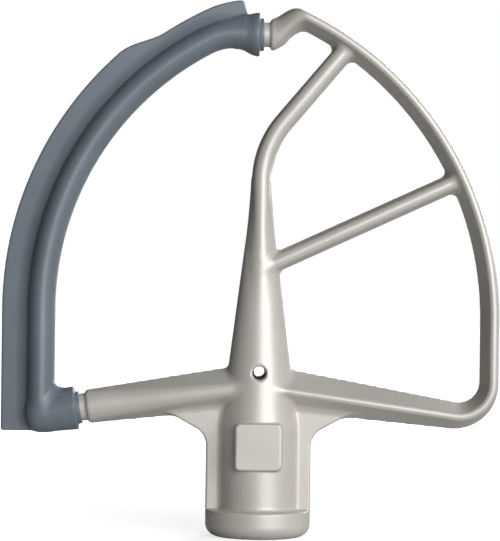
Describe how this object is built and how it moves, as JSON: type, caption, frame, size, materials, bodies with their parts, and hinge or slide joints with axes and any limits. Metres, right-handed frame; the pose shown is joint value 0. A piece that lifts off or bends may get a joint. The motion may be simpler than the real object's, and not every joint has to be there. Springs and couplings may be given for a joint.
{
  "type": "flat beater",
  "caption": "Cast flat beater for a stand mixer, with a moulded flexible wiping edge down one side and a hub that hooks onto the drive pin.",
  "frame": {"origin": "centre of the drive bore's mouth, on the flat end of the hub", "axes": "+Z along the bore axis from the hub's mouth towards the far end of the beater, +X towards the plain metal rim, +Y away from the face with the square pad, so the beater lies in the XZ plane"},
  "size_m": [0.1593, 0.0334, 0.1717],
  "materials": {
    "cast_metal": "satin silver coating with a fine grain",
    "elastomer": "matt"
  },
  "bodies": {
    "root": {"beater_frame": "cast_metal", "flex_edge": "elastomer"}
  },
  "joints": []
}
